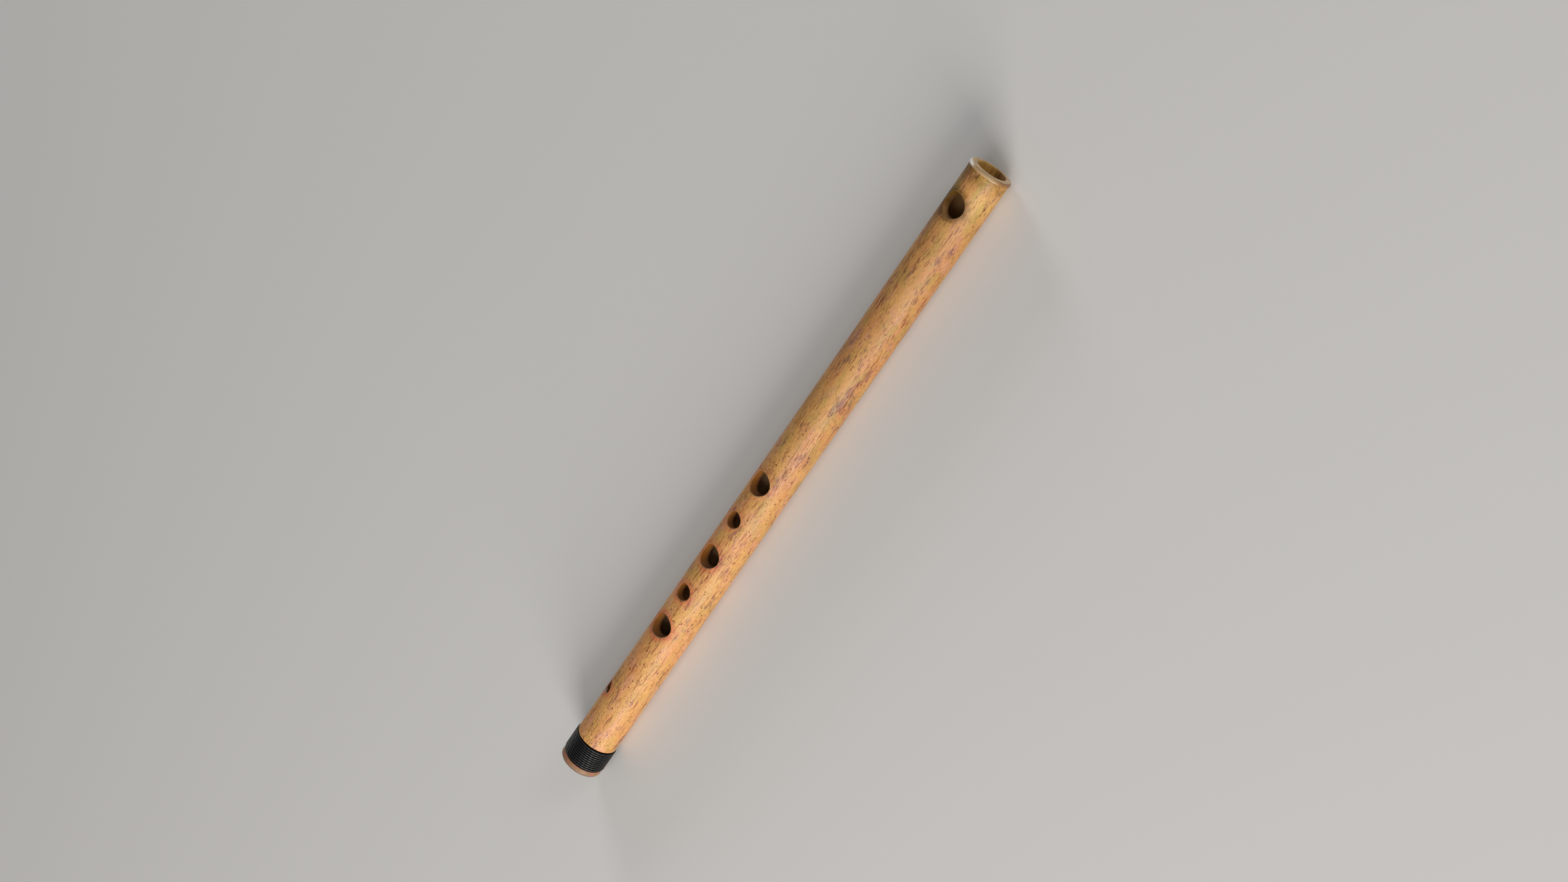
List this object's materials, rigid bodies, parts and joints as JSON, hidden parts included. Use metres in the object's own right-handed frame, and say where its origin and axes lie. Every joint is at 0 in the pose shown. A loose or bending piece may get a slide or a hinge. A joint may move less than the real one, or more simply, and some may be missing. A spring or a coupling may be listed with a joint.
{
  "type": "bamboo flute",
  "caption": "Transverse bamboo flute with a blow hole, finger holes, a sliding cork stopper inside its head and a dark cord binding round its foot.",
  "frame": {"origin": "on the surface that the flute lies on, below the middle of its length", "axes": "+X along the tube from the foot towards the head, +Z the way the blow hole faces, so +Y is the side that the last finger hole is turned towards"},
  "size_m": [0.4, 0.0248, 0.0249],
  "materials": {
    "bamboo": "dry natural bamboo skin, fine lengthwise fibres, brown mottling and specks, satin",
    "cork": "natural cork, matt, small dark pores",
    "binding_cord": "black waxed twisted cord, soft sheen"
  },
  "bodies": {
    "flute": {"bamboo_tube": "bamboo", "foot_binding": "binding_cord"},
    "stopper": {"head_stopper": "cork"}
  },
  "joints": [
    {"name": "stopper_slide", "type": "slide", "parent": "flute", "child": "stopper", "axis": [1, 0, 0], "range_m": [-0.001, 0.0125]}
  ]
}
